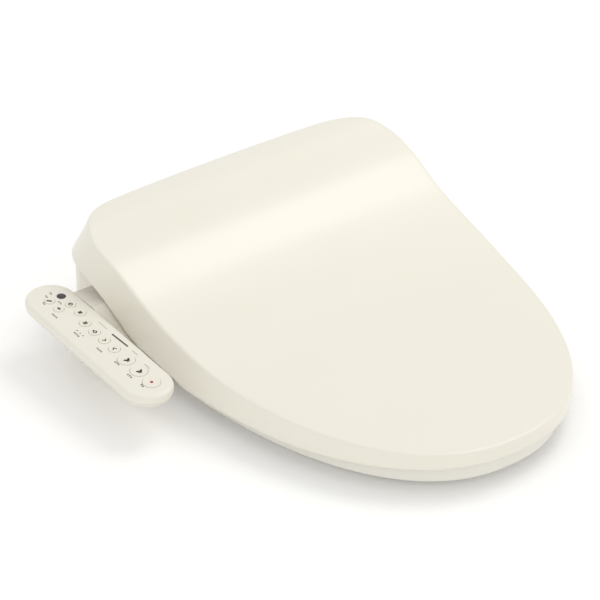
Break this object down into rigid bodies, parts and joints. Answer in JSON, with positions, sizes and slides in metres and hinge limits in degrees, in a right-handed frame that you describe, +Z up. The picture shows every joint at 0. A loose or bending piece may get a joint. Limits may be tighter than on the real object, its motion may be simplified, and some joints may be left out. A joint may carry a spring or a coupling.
{
  "type": "electric bidet seat",
  "caption": "Electric bidet toilet seat with a soft-close lid and heated seat on one hinge line, an extending spray nozzle and a side control panel on an arm.",
  "frame": {"origin": "on the bowl's rim plane, under the mounting plate, midway between its two bolt slots", "axes": "+Z up out of the rim plane, the seat's front tip towards -Y, the control panel on the -X side"},
  "size_m": [0.4885, 0.5386, 0.1323],
  "materials": {
    "ivory_casing": "soft gloss, moulded",
    "ivory_seat": "soft gloss, moulded",
    "button_plastic": "satin, moulded",
    "grey_plastic": "satin, moulded",
    "dark_plastic": "matte, moulded",
    "sensor_window": "gloss, infrared-clear",
    "bumper_rubber": "matte",
    "silicone": "matte",
    "steel": "brushed",
    "brass": "machined",
    "circuit_board": "solder-mask coated laminate",
    "carbon_foam": "open-cell carbon foam",
    "heater_foil": "laminated foil",
    "tank_plastic": "matte, moulded",
    "gear_plastic": "matte, moulded"
  },
  "bodies": {
    "mount": {"mounting_plate": "grey_plastic", "slot_bushing_left": "bumper_rubber", "slot_bushing_right": "bumper_rubber"},
    "main_unit": {"lower_case": "ivory_casing", "upper_case": "ivory_casing", "nozzle_bezel": "ivory_casing", "base_pad_left": "bumper_rubber", "base_pad_right": "bumper_rubber", "case_screw_left": "steel", "case_screw_right": "steel", "hinge_pin_left": "steel", "hinge_pin_right": "steel", "seat_damper": "dark_plastic", "lid_damper": "dark_plastic", "water_inlet": "brass", "drain_plug": "grey_plastic", "cord_gland": "dark_plastic", "hot_water_tank": "tank_plastic", "tank_heater": "steel", "solenoid_valve": "dark_plastic", "flow_pump": "steel", "main_board": "circuit_board", "nozzle_housing": "dark_plastic", "nozzle_motor": "steel", "fan_housing": "dark_plastic", "fan_motor": "steel", "panel_cover": "ivory_casing", "panel_base": "ivory_casing", "control_board": "circuit_board", "keypad_mat": "silicone", "sensor_lens": "sensor_window"},
    "seat": {"seat_top_shell": "ivory_seat", "seat_bottom_shell": "ivory_seat", "seat_heater": "heater_foil", "seat_bumper_front_left": "bumper_rubber", "seat_bumper_front_right": "bumper_rubber", "seat_bumper_rear_left": "bumper_rubber", "seat_bumper_rear_right": "bumper_rubber"},
    "lid": {"lid_shell": "ivory_casing", "lid_bumper_left": "bumper_rubber", "lid_bumper_right": "bumper_rubber"},
    "nozzle": {"nozzle_tube": "grey_plastic", "nozzle_tip": "steel"},
    "pinion": {"drive_pinion": "gear_plastic"},
    "impeller": {"fan_impeller": "grey_plastic"},
    "filter": {"filter_frame": "grey_plastic", "filter_pad": "carbon_foam"},
    "release": {"release_button": "grey_plastic"},
    "button_rear_wash": {"button_rear_wash": "button_plastic"},
    "button_front_wash": {"button_front_wash": "button_plastic"},
    "button_stop": {"button_stop": "button_plastic"},
    "button_pressure_up": {"button_pressure_up": "button_plastic"},
    "button_pressure_down": {"button_pressure_down": "button_plastic"},
    "button_water_warm": {"button_water_warm": "button_plastic"},
    "button_seat_warm": {"button_seat_warm": "button_plastic"},
    "button_dryer": {"button_dryer": "button_plastic"},
    "button_power": {"button_power": "button_plastic"},
    "button_energy_save": {"button_energy_save": "button_plastic"},
    "button_nozzle_clean": {"button_nozzle_clean": "button_plastic"}
  },
  "joints": [
    {"name": "unit_slide", "type": "slide", "parent": "mount", "child": "main_unit", "axis": [0, -1, 0], "range_m": [0, 0.035]},
    {"name": "seat_hinge", "type": "hinge", "parent": "main_unit", "child": "seat", "pos_m": [0, 0.028, 0.1], "axis": [-1, 0, 0], "range_deg": [0, 104]},
    {"name": "lid_hinge", "type": "hinge", "parent": "seat", "child": "lid", "pos_m": [0, 0.028, 0.1], "axis": [1, 0, 0], "range_deg": [-108, 0]},
    {"name": "nozzle_extend", "type": "slide", "parent": "main_unit", "child": "nozzle", "axis": [0, -0.848, -0.5299], "range_m": [0, 0.1]},
    {"name": "pinion_spin", "type": "hinge", "parent": "main_unit", "child": "pinion", "pos_m": [0.0161, -0.08486, 0.03696], "axis": [0, -0.5299, 0.848], "range_deg": [-900, 900]},
    {"name": "impeller_spin", "type": "hinge", "parent": "main_unit", "child": "impeller", "pos_m": [0.092, -0.066, 0.025], "axis": [0, 0, 1], "continuous": true},
    {"name": "filter_slide", "type": "slide", "parent": "main_unit", "child": "filter", "axis": [1, 0, 0], "range_m": [0, 0.045]},
    {"name": "release_press", "type": "slide", "parent": "main_unit", "child": "release", "axis": [-1, 0, 0], "range_m": [0, 0.005], "stiffness_N_per_m": 600, "springref_m": -0.002},
    {"name": "press_rear_wash", "type": "slide", "parent": "main_unit", "child": "button_rear_wash", "axis": [0, 0.0637, -0.998], "range_m": [0, 0.0006], "stiffness_N_per_m": 1500, "springref_m": -0.0004},
    {"name": "press_front_wash", "type": "slide", "parent": "main_unit", "child": "button_front_wash", "axis": [0, 0.0637, -0.998], "range_m": [0, 0.0006], "stiffness_N_per_m": 1500, "springref_m": -0.0004},
    {"name": "press_stop", "type": "slide", "parent": "main_unit", "child": "button_stop", "axis": [0, 0.0637, -0.998], "range_m": [0, 0.0006], "stiffness_N_per_m": 1500, "springref_m": -0.0004},
    {"name": "press_pressure_up", "type": "slide", "parent": "main_unit", "child": "button_pressure_up", "axis": [0, 0.0637, -0.998], "range_m": [0, 0.0006], "stiffness_N_per_m": 1500, "springref_m": -0.0004},
    {"name": "press_pressure_down", "type": "slide", "parent": "main_unit", "child": "button_pressure_down", "axis": [0, 0.0637, -0.998], "range_m": [0, 0.0006], "stiffness_N_per_m": 1500, "springref_m": -0.0004},
    {"name": "press_water_warm", "type": "slide", "parent": "main_unit", "child": "button_water_warm", "axis": [0, 0.0637, -0.998], "range_m": [0, 0.0006], "stiffness_N_per_m": 1500, "springref_m": -0.0004},
    {"name": "press_seat_warm", "type": "slide", "parent": "main_unit", "child": "button_seat_warm", "axis": [0, 0.0637, -0.998], "range_m": [0, 0.0006], "stiffness_N_per_m": 1500, "springref_m": -0.0004},
    {"name": "press_dryer", "type": "slide", "parent": "main_unit", "child": "button_dryer", "axis": [0, 0.0637, -0.998], "range_m": [0, 0.0006], "stiffness_N_per_m": 1500, "springref_m": -0.0004},
    {"name": "press_power", "type": "slide", "parent": "main_unit", "child": "button_power", "axis": [0, 0.0637, -0.998], "range_m": [0, 0.0006], "stiffness_N_per_m": 1500, "springref_m": -0.0004},
    {"name": "press_energy_save", "type": "slide", "parent": "main_unit", "child": "button_energy_save", "axis": [0, 0.0637, -0.998], "range_m": [0, 0.0006], "stiffness_N_per_m": 1500, "springref_m": -0.0004},
    {"name": "press_nozzle_clean", "type": "slide", "parent": "main_unit", "child": "button_nozzle_clean", "axis": [0, 0.0637, -0.998], "range_m": [0, 0.0006], "stiffness_N_per_m": 1500, "springref_m": -0.0004}
  ],
  "couplings": [
    {"joint": "pinion_spin", "follows": "nozzle_extend", "rad_per_m": 142.86}
  ]
}
